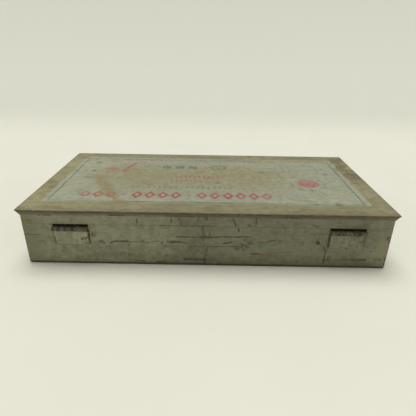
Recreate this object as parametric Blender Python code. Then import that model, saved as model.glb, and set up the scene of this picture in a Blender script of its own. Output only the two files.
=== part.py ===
"""Shallow sheet-steel kit case with a hinged lid, two swing catches and a rack of drive hole punches.

Metres, +Z up. The case stands on z = 0 and its width runs along X. The hinges are on the -Y wall
and the catches are on the +Y wall. The origin is the middle of the underside.
"""

import math

import bmesh
import bpy
from mathutils import Vector

# Case
LID_WIDTH = 0.280
LID_DEPTH = 0.144
CASE_HEIGHT = 0.0465
SIDE_OVERHANG = 0.0023       # how far the lid's rim stands out past the long walls
END_OVERHANG = 0.0015        # and past the end walls
RIM_EDGE = 0.0012            # upright edge of the rim
RIM_BREAK = 0.0003           # the rim's edges are broken by this much
RIM_HEIGHT = 0.0057          # from the lid's top down to where the rim meets the skirt
SKIRT_DEPTH = 0.0121         # from the lid's top down to the seam
SHEET = 0.0010               # thickness of the case's steel
GAP = 0.0003                 # between pieces that touch
WALL_CORNER = 0.0024         # plan radius of the upright corners
RIM_CORNER = 0.0008          # plan radius at the rim's tip
FLOOR_BEND = 0.0012          # radius between the floor and the walls
FLOOR_STEPS = 3
CORNER_STEPS = 4
PAN_SHARP = math.radians(40)     # sharper edges than this stay crisp
SHEET_SHARP = math.radians(35)
TURNED_SHARP = math.radians(30)

# Hinges and catches share one strip thickness and one barrel size
STRIP = 0.0007
BARREL = 0.00175             # outer radius of a rolled knuckle
PIN_RADIUS = 0.00075
PIN_CHAMFER = 0.0002
PIN_SIDES = 16
CURL_STEP = math.radians(22.5)
CURL_TURN = 13 * CURL_STEP   # how far a leaf is rolled round its pin

HINGE_SIDES = (("left", -0.1016), ("right", 0.1047))   # middle of each hinge
HINGE_LENGTH = 0.0262
HINGE_KNUCKLES = 5
HINGE_DROP = 0.0031          # barrel axis below the seam
LEAF_DROP = 0.0119           # lower leaf below the barrel
LEAF_RISE = 0.0090           # upper leaf above the seam, inside the skirt
LEAF_INSET = 0.0004          # lower leaf's ends inside the barrel's ends
LEAF_CORNER = 0.0022

CATCH_SIDES = (("left", -0.080), ("right", 0.080))
CATCH_AXIS_Z = 0.0250
CATCH_LENGTH = 0.0180
CATCH_KNUCKLE = 0.0084       # width of the hasp's own knuckle
BRACKET_RISE = 0.0068        # bracket's plate above its barrel
HASP_WIDTH = 0.0140
HASP_RISE = 0.0180           # hasp's end above the axis when it is closed
HASP_LIP = 0.0022            # how far the finger lip turns out
HASP_BEND = 0.0014           # radius of the bend into the finger lip
HASP_REST = math.radians(172.0)   # from hanging open, lip on the wall, to closed
KEEPER_Z = 0.0380            # middle of the keeper's tongue
KEEPER_FLANGE = 0.0032
KEEPER_WIDTH = 0.0062
KEEPER_REACH = 0.0056        # tongue's end from the wall
WINDOW_WIDTH = 0.0072
WINDOW_LOW, WINDOW_HIGH = 0.0122, 0.0141   # above the axis, hasp closed

# Punches
BORES_32NDS = (4, 5, 6, 7, 8, 9, 10, 12, 14, 16, 18, 20)   # bore diameters, 1/32 in
INCH_32ND = 0.0254 / 32
PUNCH_PITCH = 0.0220
PUNCH_AXIS_Z = 0.0140
TUBE_WALL = 0.0013
EDGE_WALL = 0.0002           # left at the cutting edge
EDGE_BEVEL = 0.0050
TUBE_LENGTH = 0.0330
BORE_DEPTH = 0.0340
NECK_LENGTH = 0.0110         # cone between the tube and the shank
SHANK_BASE, SHANK_SHARE = 0.0044, 0.25    # shank radius: a base, and a share of the tube's radius
HEAD_FLARE = 0.0010          # head radius over the shank's
HEAD_START, HEAD_FULL = 0.0160, 0.0120    # where the head's cone starts and ends, from the struck end
PUNCH_SHORT, PUNCH_LONG = 0.1040, 0.1140
HEAD_CHAMFER = 0.0012
SLOT_START, SLOT_END = 0.0130, 0.0310
SLOT_SHARE = 0.9             # slug slot's width as a share of the bore
PUNCH_SIDES = 24

# Rack
RAIL_Y = 0.036
RAIL_TOP = 0.0180
RAIL_SHEET = 0.0012
RAIL_FLANGE = 0.0110
RAIL_HALF = 0.1320
NOTCH_STEPS = 8
SAME_PLACE = 1e-6            # closer than this counts as the same place

BODY_X = LID_WIDTH / 2 - END_OVERHANG
BODY_Y = LID_DEPTH / 2 - SIDE_OVERHANG
SEAM_Z = CASE_HEIGHT - SKIRT_DEPTH
HINGE_Z = SEAM_Z - HINGE_DROP
BARREL_OUT = GAP + BARREL    # barrel axis from the outside of the wall


def clear_scene():
    for obj in list(bpy.data.objects):
        bpy.data.objects.remove(obj, do_unlink=True)


def material(name, colour, roughness, metallic):
    made = bpy.data.materials.new(name)
    made.use_nodes = True
    shader = made.node_tree.nodes["Principled BSDF"]
    shader.inputs["Base Color"].default_value = (*colour, 1.0)
    shader.inputs["Roughness"].default_value = roughness
    shader.inputs["Metallic"].default_value = metallic
    return made


def add_object(name, bm, finish, smooth_angle=None):
    """Turns a bmesh into a named object, faces out."""
    bmesh.ops.recalc_face_normals(bm, faces=bm.faces)
    mesh = bpy.data.meshes.new(name)
    bm.to_mesh(mesh)
    bm.free()
    mesh.materials.append(finish)
    if smooth_angle is not None:
        mesh.shade_smooth()
        mesh.set_sharp_from_angle(angle=smooth_angle)
    obj = bpy.data.objects.new(name, mesh)
    bpy.context.collection.objects.link(obj)
    return obj


def cut(obj, cutter):
    """Takes the cutter away from the object, and hides the cutter."""
    cutter.display_type = "WIRE"
    cutter.hide_render = True
    boolean = obj.modifiers.new(cutter.name, "BOOLEAN")
    boolean.operation = "DIFFERENCE"
    boolean.object = cutter


def box_cutter(name, low, high):
    bm = bmesh.new()
    bmesh.ops.create_cube(bm, size=1.0)
    size = Vector(high) - Vector(low)
    bmesh.ops.scale(bm, vec=size, verts=bm.verts)
    bmesh.ops.translate(bm, vec=(Vector(low) + Vector(high)) / 2, verts=bm.verts)
    return add_object(name, bm, STEEL)


def rounded_ring(bm, half_x, half_y, radius, z):
    """A level ring of vertices round a rectangle with rounded corners."""
    ring = []
    for quarter, (sx, sy) in enumerate(((1, 1), (-1, 1), (-1, -1), (1, -1))):
        for step in range(CORNER_STEPS + 1):
            angle = math.radians(90) * (quarter + step / CORNER_STEPS)
            x = sx * (half_x - radius) + radius * math.cos(angle)
            y = sy * (half_y - radius) + radius * math.sin(angle)
            ring.append(bm.verts.new((x, y, z)))
    return ring


def skin(bm, rings):
    """Joins the rings one to the next, and closes the first and the last."""
    for low, high in zip(rings, rings[1:]):
        for i in range(len(low)):
            j = (i + 1) % len(low)
            bm.faces.new((low[i], low[j], high[j], high[i]))
    bm.faces.new(rings[0])
    bm.faces.new(rings[-1])


def pan_ring(bm, outset, radius, z):
    """A ring that stands outset from the case's walls."""
    return rounded_ring(bm, BODY_X + outset, BODY_Y + outset, radius, z)


def rim_ring(bm, inset, radius, z):
    """A ring that stands inset from the lid's outermost edge."""
    return rounded_ring(bm, LID_WIDTH / 2 - inset, LID_DEPTH / 2 - inset, radius, z)


def prism(name, outline, x_low, x_high, finish):
    """Runs an outline of (y, z) points along X."""
    bm = bmesh.new()
    ends = [[bm.verts.new((x, y, z)) for y, z in outline] for x in (x_low, x_high)]
    skin(bm, ends)
    return add_object(name, bm, finish, SHEET_SHARP)


def arc(centre, radius, start, end):
    """Points on an arc, both ends included."""
    count = max(1, round(abs(end - start) / CURL_STEP))
    points = []
    for step in range(count + 1):
        angle = start + (end - start) * step / count
        points.append((centre[0] + radius * math.cos(angle), centre[1] + radius * math.sin(angle)))
    return points


def curled_strip(start, end, tail_outer, tail_inner):
    """A strip rolled round the origin from one angle to another, with a flat tail at its start.

    The tail's points run from its far end to the barrel on the outer side, and back on the inner side.
    """
    outer = arc((0, 0), BARREL, start, end)
    inner = arc((0, 0), BARREL - STRIP, end, start)
    return tail_outer + outer + inner + tail_inner


def knuckle_spans(length, widths):
    """The low and high X of each knuckle, for widths along a barrel with a gap between neighbours."""
    free = length - GAP * (len(widths) - 1)
    total = sum(widths)
    spans, low = [], -length / 2
    for width in widths:
        high = low + free * width / total
        spans.append((low, high))
        low = high + GAP
    return spans


def relieve(obj, name, spans, middle_x, low_yz, high_yz):
    """Cuts a leaf away where the other leaf's knuckles turn."""
    for index, (low, high) in enumerate(spans):
        cutter = box_cutter(f"{name}_{index + 1}",
                            (middle_x + low - GAP, *low_yz), (middle_x + high + GAP, *high_yz))
        cut(obj, cutter)


def pin(name, length, middle, finish):
    """A plain pin along X with broken ends."""
    bm = bmesh.new()
    stations = ((-length / 2, PIN_RADIUS - PIN_CHAMFER), (-length / 2 + PIN_CHAMFER, PIN_RADIUS),
                (length / 2 - PIN_CHAMFER, PIN_RADIUS), (length / 2, PIN_RADIUS - PIN_CHAMFER))
    rings = []
    for x, radius in stations:
        angles = [2 * math.pi * i / PIN_SIDES for i in range(PIN_SIDES)]
        rings.append([bm.verts.new((x, radius * math.cos(a), radius * math.sin(a))) for a in angles])
    skin(bm, rings)
    obj = add_object(name, bm, finish, SHEET_SHARP)
    obj.location = middle
    return obj


def make_base_pan():
    bm = bmesh.new()
    top = SEAM_Z - GAP / 2
    rings = []
    for step in range(FLOOR_STEPS + 1):
        angle = math.radians(90) * step / FLOOR_STEPS
        inset = FLOOR_BEND * (1 - math.sin(angle))
        rings.append(pan_ring(bm, -inset, WALL_CORNER - inset / 2, FLOOR_BEND * (1 - math.cos(angle))))
    rings.append(pan_ring(bm, 0, WALL_CORNER, top))
    rings.append(pan_ring(bm, -SHEET, WALL_CORNER - SHEET, top))
    rings.append(pan_ring(bm, -SHEET, WALL_CORNER - SHEET, SHEET + FLOOR_BEND / 2))
    rings.append(pan_ring(bm, -SHEET - FLOOR_BEND / 2, WALL_CORNER - SHEET - FLOOR_BEND / 4, SHEET))
    skin(bm, rings)
    pan = add_object("base_pan", bm, CASE_PAINT, PAN_SHARP)
    for side, x in HINGE_SIDES:
        notch_floor = HINGE_Z + BARREL - STRIP - GAP
        low = (x - HINGE_LENGTH / 2 - GAP, -BODY_Y - SHEET, notch_floor)
        high = (x + HINGE_LENGTH / 2 + GAP, -BODY_Y + 2 * SHEET, SEAM_Z + SHEET)
        cut(pan, box_cutter(f"hinge_notch_{side}", low, high))


def make_lid_pan():
    bm = bmesh.new()
    low = SEAM_Z + GAP / 2
    roof = CASE_HEIGHT - SHEET
    tip_low = CASE_HEIGHT - RIM_EDGE
    rings = [
        pan_ring(bm, -SHEET, WALL_CORNER - SHEET, roof),
        pan_ring(bm, -SHEET, WALL_CORNER - SHEET, low),
        pan_ring(bm, 0, WALL_CORNER, low),
        pan_ring(bm, 0, WALL_CORNER, CASE_HEIGHT - RIM_HEIGHT),
        rim_ring(bm, RIM_BREAK, RIM_CORNER + RIM_BREAK, tip_low),
        rim_ring(bm, 0, RIM_CORNER, tip_low + RIM_BREAK),
        rim_ring(bm, 0, RIM_CORNER, CASE_HEIGHT - RIM_BREAK),
        rim_ring(bm, RIM_BREAK, RIM_CORNER, CASE_HEIGHT),
    ]
    skin(bm, rings)
    add_object("lid_pan", bm, LID_PAINT, PAN_SHARP)


def make_hinge(side, x):
    """Two rolled leaves on one pin. Outlines are (y, z) about the barrel's axis, wall towards +y."""
    axis = (x, -BODY_Y - BARREL_OUT, HINGE_Z)
    back, front = BARREL, BARREL - STRIP
    spans = knuckle_spans(HINGE_LENGTH, [1] * HINGE_KNUCKLES)
    ends = (-HINGE_LENGTH / 2, HINGE_LENGTH / 2)

    foot = -BARREL - LEAF_DROP
    lower = curled_strip(0, CURL_TURN, [(back, foot)], [(front, foot)])
    leaf = prism(f"hinge_lower_leaf_{side}", lower, *ends, WORN_STEEL)
    leaf.location = axis
    low_yz = (axis[1] - 2 * BARREL, HINGE_Z - BARREL - GAP)
    high_yz = (axis[1] + 2 * BARREL, HINGE_Z + 2 * BARREL)
    relieve(leaf, f"lower_relief_{side}", spans[1::2], x, low_yz, high_yz)
    trim_leaf(leaf, side, axis, foot)

    inner = BARREL_OUT + SHEET + GAP
    rise = HINGE_DROP + LEAF_RISE
    quarter = math.radians(90)
    upper = curled_strip(quarter, quarter + CURL_TURN,
                         [(inner, rise), (inner, back)], [(inner + STRIP, front), (inner + STRIP, rise)])
    leaf = prism(f"hinge_upper_leaf_{side}", upper, *ends, WORN_STEEL)
    leaf.location = axis
    low_yz = (axis[1] - 2 * BARREL, HINGE_Z - 2 * BARREL)
    high_yz = (-BODY_Y + SHEET / 2, SEAM_Z)
    relieve(leaf, f"upper_relief_{side}", spans[0::2], x, low_yz, high_yz)

    pin(f"hinge_pin_{side}", HINGE_LENGTH - GAP, axis, WORN_STEEL)


def trim_leaf(leaf, side, axis, foot):
    """Sets the lower leaf's ends in from the barrel's, with rounded lower corners."""
    for end, sign in (("outer", -1), ("inner", 1)):
        edge = HINGE_LENGTH / 2 - LEAF_INSET
        far = HINGE_LENGTH
        corner = arc((edge - LEAF_CORNER, foot + LEAF_CORNER), LEAF_CORNER, -math.radians(90), 0)
        outline = corner + [(edge, -BARREL - GAP), (far, -BARREL - GAP), (far, 2 * foot),
                            (edge - LEAF_CORNER, 2 * foot)]
        bm = bmesh.new()
        rings = [[bm.verts.new((sign * px, y, pz)) for px, pz in outline] for y in (0, 2 * BARREL)]
        skin(bm, rings)
        cutter = add_object(f"leaf_trim_{side}_{end}", bm, STEEL)
        cutter.location = axis
        cut(leaf, cutter)


def make_catch(side, x):
    """A hasp that swings on the base and closes over a keeper on the lid."""
    axis = (x, BODY_Y + BARREL_OUT, CATCH_AXIS_Z)
    shoulder = (CATCH_LENGTH - CATCH_KNUCKLE) / 2 - GAP
    spans = knuckle_spans(CATCH_LENGTH, [shoulder, CATCH_KNUCKLE, shoulder])
    ends = (-CATCH_LENGTH / 2, CATCH_LENGTH / 2)
    half_turn = math.radians(180)

    top = BARREL + BRACKET_RISE
    plate = curled_strip(half_turn, half_turn + CURL_TURN, [(-BARREL, top)], [(STRIP - BARREL, top)])
    bracket = prism(f"catch_bracket_{side}", plate, *ends, WORN_STEEL)
    bracket.location = axis
    relieve(bracket, f"bracket_relief_{side}", spans[1:2], x,
            (axis[1] - 2 * BARREL, axis[2] - 2 * BARREL), (axis[1] + 2 * BARREL, axis[2] + BARREL + GAP))

    pin(f"catch_pin_{side}", CATCH_LENGTH - GAP, axis, WORN_STEEL)

    # The hasp is drawn closed, standing up outside the rim, then turned down to hang.
    lip_centre = (BARREL + HASP_BEND - STRIP, HASP_RISE - HASP_BEND)
    lip_outer = arc(lip_centre, HASP_BEND, half_turn, half_turn / 2)
    lip_inner = arc(lip_centre, HASP_BEND - STRIP, half_turn / 2, half_turn)
    reach = BARREL + HASP_LIP
    closed = curled_strip(0, -CURL_TURN,
                          [(reach, HASP_RISE - STRIP)] + lip_inner, lip_outer + [(reach, HASP_RISE)])
    hasp = prism(f"catch_hasp_{side}", closed, -HASP_WIDTH / 2, HASP_WIDTH / 2, WORN_STEEL)
    hasp.location = axis
    hasp.rotation_euler.x = -HASP_REST
    knuckle = CATCH_KNUCKLE / 2
    for end, sign in (("left", -1), ("right", 1)):
        low_x, high_x = sorted((sign * knuckle, sign * HASP_WIDTH))
        shoulder_cut = box_cutter(f"hasp_shoulder_{side}_{end}", (low_x, -2 * BARREL, -2 * BARREL),
                                  (high_x, 2 * BARREL, BARREL + GAP))
        shoulder_cut.location = axis
        shoulder_cut.rotation_euler.x = -HASP_REST
        cut(hasp, shoulder_cut)
    window = box_cutter(f"hasp_window_{side}", (-WINDOW_WIDTH / 2, 0, WINDOW_LOW),
                        (WINDOW_WIDTH / 2, 2 * BARREL, WINDOW_HIGH))
    window.location = axis
    window.rotation_euler.x = -HASP_REST
    cut(hasp, window)

    tongue_low, tongue_top = KEEPER_Z - STRIP / 2, KEEPER_Z + STRIP / 2
    wall = BODY_Y + GAP
    flange_foot = tongue_top - KEEPER_FLANGE
    outline = [(wall, tongue_top), (wall, flange_foot), (wall + STRIP, flange_foot), (wall + STRIP, tongue_low),
               (BODY_Y + KEEPER_REACH, tongue_low), (BODY_Y + KEEPER_REACH, tongue_top)]
    prism(f"catch_keeper_{side}", outline, x - KEEPER_WIDTH / 2, x + KEEPER_WIDTH / 2, WORN_STEEL)


def punch_sizes(index):
    """Bore, tube and shank radii and the length of one punch in the set."""
    bore = BORES_32NDS[index] * INCH_32ND / 2
    tube = bore + TUBE_WALL
    shank = SHANK_BASE + SHANK_SHARE * tube
    length = PUNCH_SHORT + (PUNCH_LONG - PUNCH_SHORT) * index / (len(BORES_32NDS) - 1)
    return bore, tube, shank, length


def punch_x(index):
    return (index - (len(BORES_32NDS) - 1) / 2) * PUNCH_PITCH


def make_punch(index):
    """A drive punch lying along Y, its cutting edge towards the catches and its slot up."""
    bore, tube, shank, length = punch_sizes(index)
    head = shank + HEAD_FLARE
    neck_end = TUBE_LENGTH + NECK_LENGTH
    profile = [
        (bore, BORE_DEPTH), (bore, 0), (bore + EDGE_WALL, 0), (tube, EDGE_BEVEL), (tube, TUBE_LENGTH),
        (shank, neck_end), (shank, length - HEAD_START), (head, length - HEAD_FULL),
        (head, length - HEAD_CHAMFER), (head - HEAD_CHAMFER, length),
    ]
    bm = bmesh.new()
    rings = []
    for radius, along in profile:
        y = length / 2 - along
        angles = [2 * math.pi * i / PUNCH_SIDES for i in range(PUNCH_SIDES)]
        rings.append([bm.verts.new((radius * math.cos(a), y, radius * math.sin(a))) for a in angles])
    skin(bm, rings)
    name = f"punch_{index + 1:02d}"
    punch = add_object(name, bm, STEEL, TURNED_SHARP)
    punch.location = (punch_x(index), 0, PUNCH_AXIS_Z)
    half = bore * SLOT_SHARE
    slot = box_cutter(f"slug_slot_{index + 1:02d}",
                      (-half, length / 2 - SLOT_END, 0), (half, length / 2 - SLOT_START, 2 * tube))
    slot.location = punch.location
    cut(punch, slot)


def make_rail(name, y, radius_of, flange_sign):
    """A bent steel rail with an open notch under each punch."""
    floor = SHEET + GAP
    outline = [(RAIL_HALF, floor), (RAIL_HALF, RAIL_TOP)]
    for index in reversed(range(len(BORES_32NDS))):
        radius, x = radius_of(index) + GAP, punch_x(index)
        outline.append((x + radius, RAIL_TOP))
        for step in range(NOTCH_STEPS + 1):
            angle = -math.pi * step / NOTCH_STEPS
            outline.append((x + radius * math.cos(angle), PUNCH_AXIS_Z + radius * math.sin(angle)))
        outline.append((x - radius, RAIL_TOP))
    outline += [(-RAIL_HALF, RAIL_TOP), (-RAIL_HALF, floor)]
    bm = bmesh.new()
    sides = [y, y + flange_sign * RAIL_SHEET]
    rings = [[bm.verts.new((px, side, pz)) for px, pz in outline] for side in sides]
    skin(bm, rings)
    bend = floor + RAIL_SHEET
    bmesh.ops.bisect_plane(bm, geom=bm.verts[:] + bm.edges[:] + bm.faces[:],
                           plane_co=(0, 0, bend), plane_no=(0, 0, 1))
    foot = [f for f in bm.faces if abs(f.calc_center_median().y - sides[1]) < SAME_PLACE
            and f.calc_center_median().z < bend]
    pushed = bmesh.ops.extrude_face_region(bm, geom=foot)["geom"]
    moved = [v for v in pushed if isinstance(v, bmesh.types.BMVert)]
    bmesh.ops.translate(bm, vec=(0, flange_sign * (RAIL_FLANGE - RAIL_SHEET), 0), verts=moved)
    bmesh.ops.delete(bm, geom=foot, context="FACES_ONLY")
    add_object(name, bm, WORN_STEEL, SHEET_SHARP)


clear_scene()
CASE_PAINT = material("olive_grey_paint", (0.145, 0.140, 0.100), 0.55, 0.0)
LID_PAINT = material("lid_paint", (0.30, 0.27, 0.17), 0.5, 0.0)
WORN_STEEL = material("worn_steel", (0.16, 0.11, 0.07), 0.6, 0.8)
STEEL = material("tool_steel", (0.42, 0.41, 0.39), 0.38, 1.0)

make_base_pan()
make_lid_pan()
for hinge_side, hinge_x in HINGE_SIDES:
    make_hinge(hinge_side, hinge_x)
for catch_side, catch_x in CATCH_SIDES:
    make_catch(catch_side, catch_x)
make_rail("rack_rail_hinge_side", -RAIL_Y, lambda i: punch_sizes(i)[2], 1)
make_rail("rack_rail_catch_side", RAIL_Y, lambda i: punch_sizes(i)[1], -1)
for punch_index in range(len(BORES_32NDS)):
    make_punch(punch_index)
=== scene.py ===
import math

import bmesh
import bpy
from mathutils import Matrix, Vector, noise


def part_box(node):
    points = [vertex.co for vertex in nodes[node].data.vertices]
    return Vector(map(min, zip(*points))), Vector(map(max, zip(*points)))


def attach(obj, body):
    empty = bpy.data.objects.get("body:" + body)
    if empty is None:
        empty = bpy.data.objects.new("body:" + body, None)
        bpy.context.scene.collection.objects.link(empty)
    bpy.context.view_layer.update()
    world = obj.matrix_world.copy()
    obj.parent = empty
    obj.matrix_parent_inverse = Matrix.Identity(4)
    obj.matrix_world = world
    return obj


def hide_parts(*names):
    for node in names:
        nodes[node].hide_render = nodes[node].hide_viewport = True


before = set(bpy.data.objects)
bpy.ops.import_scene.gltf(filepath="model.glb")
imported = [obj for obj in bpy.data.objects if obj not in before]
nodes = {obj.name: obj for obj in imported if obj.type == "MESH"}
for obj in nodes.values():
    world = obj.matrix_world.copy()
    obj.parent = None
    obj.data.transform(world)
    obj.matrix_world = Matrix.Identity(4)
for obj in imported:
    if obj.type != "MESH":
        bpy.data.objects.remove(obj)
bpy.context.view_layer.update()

# The looks of a set of hollow punches in its hinged sheet-steel case. Everything is in the
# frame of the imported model: metres, X along the hinges, -Y the hinge wall, +Z up. Inside the
# materials, lengths are millimetres, because a worn surface is easier to describe in them.

MM = 0.001

# ---------------------------------------------------------------- sizes, read from the frame


def box_mm(node):
    """A node's lowest and highest corners, in millimetres."""
    low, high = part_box(node)
    return low / MM, high / MM


BASE_HIGH = box_mm("base_pan")[1]
LID_LOW, LID_HIGH = box_mm("lid_pan")
WALL_X = BASE_HIGH.x                # the outer faces of the case walls
WALL_Y = BASE_HIGH.y
LID_X = LID_HIGH.x                  # the outer edge of the lid's rolled rim
LID_Y = LID_HIGH.y
TOP_Z = LID_HIGH.z
SEAM_Z = LID_LOW.z                  # the lid's lower edge
KNUCKLE = 1.0                       # from a pin's surface to the outside of its knuckles
BARREL_LOW_Z = box_mm("hinge_pin_left")[0].z - KNUCKLE
INNER_SIDE = 0.6                    # this far in from a wall's outer face is its inner side
SIDES = ("left", "right")
PUNCH_COUNT = 12

# ---------------------------------------------------------------- colours, linear RGB

WALL_PAINT_DARK = (0.150, 0.152, 0.092)
WALL_PAINT_LIGHT = (0.255, 0.256, 0.168)
BORDER_DARK = (0.195, 0.175, 0.088)
BORDER_LIGHT = (0.285, 0.262, 0.142)
PANEL_WORN = (0.272, 0.250, 0.138)
PANEL_BROWN = (0.235, 0.205, 0.100)
PANEL_PALE = (0.350, 0.352, 0.262)
PANEL_GREEN = (0.275, 0.305, 0.215)
BLEACHED = (0.410, 0.410, 0.330)
INSIDE_PAINT = (0.175, 0.185, 0.120)
# near-black: dirt and dark steel, and painted shade
GRIME_AND_SHADE = (0.055, 0.046, 0.026)
STAIN_BROWN = (0.125, 0.088, 0.042)
STAIN_DARK = (0.080, 0.056, 0.028)
STAIN_YELLOW = (0.300, 0.232, 0.092)
STAIN_OCHRE = (0.242, 0.178, 0.072)
STAIN_DRAB = (0.128, 0.104, 0.046)
STAIN_OLIVE = (0.175, 0.145, 0.055)
RUST = (0.135, 0.052, 0.020)
RUST_DARK = (0.045, 0.022, 0.012)
RUST_RED = (0.210, 0.070, 0.042)
RUST_BROWN = (0.105, 0.066, 0.036)
BARE_STEEL = (0.222, 0.228, 0.198)
STEEL_DULL = (0.118, 0.112, 0.084)
RACK_DARK = (0.085, 0.086, 0.062)
RACK_LIGHT = (0.165, 0.166, 0.120)
BLUED_DARK = (0.150, 0.142, 0.132)
BLUED_LIGHT = (0.225, 0.205, 0.180)
TARNISHED = (0.420, 0.405, 0.375)
TURNED_BRIGHT = (0.50, 0.49, 0.46)
GROUND_BRIGHT = (0.66, 0.64, 0.60)
BARREL_DARK = (0.026, 0.021, 0.013)
BARREL_BROWN = (0.095, 0.078, 0.045)
BARREL_PALE = (0.180, 0.150, 0.095)
PRINT_RED = (0.340, 0.046, 0.054)
PRINT_GREEN = (0.060, 0.120, 0.072)
FLOOR_PALE = (0.840, 0.825, 0.735)
BACKDROP_PALE = (0.720, 0.720, 0.640)


def toned(colour, factor):
    """A colour made darker or lighter by a factor."""
    return tuple(channel * factor for channel in colour)


# ---------------------------------------------------------------- node graphs

COLOUR_A, COLOUR_B, COLOUR_RESULT = 6, 7, 2      # the Mix node's sockets for colours


class Graph:
    """A material's node tree. Each method adds nodes and gives back an output socket.
    x, y and z are the place on the object in millimetres."""

    def __init__(self, name):
        self.material = bpy.data.materials.new(name)
        self.material.use_nodes = True
        self.tree = self.material.node_tree
        self.tree.nodes.clear()
        coordinates = self.tree.nodes.new("ShaderNodeTexCoord").outputs["Object"]
        self.place = self.vector("SCALE", coordinates, scale=1 / MM)
        self.x, self.y, self.z = self.split(self.place)

    def feed(self, socket, value):
        """Links an output to an input, or sets the input to a number, a vector or a colour."""
        if isinstance(value, bpy.types.NodeSocket):
            self.tree.links.new(value, socket)
        elif hasattr(socket.default_value, "__len__") and not hasattr(value, "__len__"):
            socket.default_value = (value,) * len(socket.default_value)
        elif hasattr(value, "__len__") and len(socket.default_value) == 4 and len(value) == 3:
            socket.default_value = (*value, 1.0)
        else:
            socket.default_value = value

    def split(self, vector):
        node = self.tree.nodes.new("ShaderNodeSeparateXYZ")
        self.feed(node.inputs[0], vector)
        return node.outputs

    def flat(self, u, v):
        """A point of a plane, for the marks drawn on it."""
        node = self.tree.nodes.new("ShaderNodeCombineXYZ")
        self.feed(node.inputs["X"], u)
        self.feed(node.inputs["Y"], v)
        return node.outputs[0]

    def vector(self, operation, a, b=None, scale=None):
        node = self.tree.nodes.new("ShaderNodeVectorMath")
        node.operation = operation
        self.feed(node.inputs[0], a)
        if b is not None:
            self.feed(node.inputs[1], b)
        if scale is not None:
            self.feed(node.inputs["Scale"], scale)
        measures = operation in ("DISTANCE", "DOT_PRODUCT")
        return node.outputs["Value" if measures else "Vector"]

    # numbers

    def math(self, operation, *values):
        node = self.tree.nodes.new("ShaderNodeMath")
        node.operation = operation
        for socket, value in zip(node.inputs, values):
            self.feed(socket, value)
        return node.outputs[0]

    def chain(self, operation, first, others):
        for other in others:
            first = self.math(operation, first, other)
        return first

    def times(self, first, *others):
        return self.chain("MULTIPLY", first, others)

    def plus(self, first, *others):
        return self.chain("ADD", first, others)

    def most(self, first, *others):
        return self.chain("MAXIMUM", first, others)

    def other_than(self, mask):
        return self.math("SUBTRACT", 1.0, mask)

    def gap(self, value, middle=0.0):
        """How far a value is from a middle one."""
        offset = self.plus(value, -middle) if middle else value
        return self.math("ABSOLUTE", offset)

    def weighted(self, *parts):
        """The sum of (value, weight) pairs."""
        return self.plus(*(self.times(value, weight) for value, weight in parts))

    def ramp(self, value, low, high, to_low=0.0, to_high=1.0):
        """Smooth from to_low, where value is low, to to_high, where value is high."""
        node = self.tree.nodes.new("ShaderNodeMapRange")
        node.interpolation_type = "SMOOTHSTEP"
        turned = high < low
        ends = (high, low, to_high, to_low) if turned else (low, high, to_low, to_high)
        self.feed(node.inputs["Value"], value)
        for name, end in zip(("From Min", "From Max", "To Min", "To Max"), ends):
            self.feed(node.inputs[name], end)
        return node.outputs["Result"]

    # patterns

    def noise(self, size, detail=3.0, stretch=(1, 1, 1), shift=0.0, roughness=0.55):
        """Noise whose blotches are about size mm across, drawn out by stretch. Each use has a
        shift of its own, so that no two patterns are the same."""
        scaled = self.vector("MULTIPLY", self.place, tuple(1 / share for share in stretch))
        moved = self.vector("ADD", scaled, (shift, shift * 0.7, -shift * 1.3))
        node = self.tree.nodes.new("ShaderNodeTexNoise")
        self.feed(node.inputs["Vector"], moved)
        self.feed(node.inputs["Scale"], 1.0 / size)
        self.feed(node.inputs["Detail"], detail)
        self.feed(node.inputs["Roughness"], roughness)
        return node.outputs["Fac"]

    def sway(self, pattern, amount):
        """Noise turned into a length that swings to both sides of nothing, over amount mm."""
        return self.times(self.plus(pattern, -0.5), amount)

    def varied(self, least, spread, size, shift):
        """A roughness of least and up, which drifts over patches of size mm."""
        return self.plus(least, self.times(self.noise(size, 3.0, shift=shift), spread))

    # colours

    def mix(self, share, a, b):
        """Colour a where share is 0, colour b where it is 1."""
        node = self.tree.nodes.new("ShaderNodeMix")
        node.data_type = "RGBA"
        self.feed(node.inputs["Factor"], share)
        self.feed(node.inputs[COLOUR_A], a)
        self.feed(node.inputs[COLOUR_B], b)
        return node.outputs[COLOUR_RESULT]

    def shade(self, colour, factor):
        return self.vector("SCALE", colour, scale=factor)

    # masks: 1 on the mark, 0 off it

    def band(self, value, low, high, soft=0.3):
        up = self.ramp(value, low - soft, low + soft)
        down = self.ramp(value, high + soft, high - soft)
        return self.times(up, down)

    def block(self, u, v, centre, size, soft):
        across = self.band(u, centre[0] - size[0] / 2, centre[0] + size[0] / 2, soft)
        along = self.band(v, centre[1] - size[1] / 2, centre[1] + size[1] / 2, soft)
        return self.times(across, along)

    def outline(self, u, v, centre, size, width):
        """The outline of a rectangle."""
        past_side = self.plus(self.gap(u, centre[0]), -size[0] / 2)
        past_end = self.plus(self.gap(v, centre[1]), -size[1] / 2)
        away = self.gap(self.most(past_side, past_end))
        return self.ramp(away, width / 2 + 0.2, width / 2 - 0.2)

    def reach(self, flat, centre):
        """How far a point of the flat is from the centre."""
        return self.vector("DISTANCE", flat, (*centre, 0.0))

    def disc(self, flat, centre, radius, soft=0.6, depth=1.0):
        return self.ramp(self.reach(flat, centre), radius + soft, radius - soft, 0.0, depth)

    def ring(self, flat, centre, radius, half_width, soft, depth=1.0):
        away = self.gap(self.reach(flat, centre), radius)
        return self.ramp(away, half_width + soft, half_width - soft, 0.0, depth)

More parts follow.
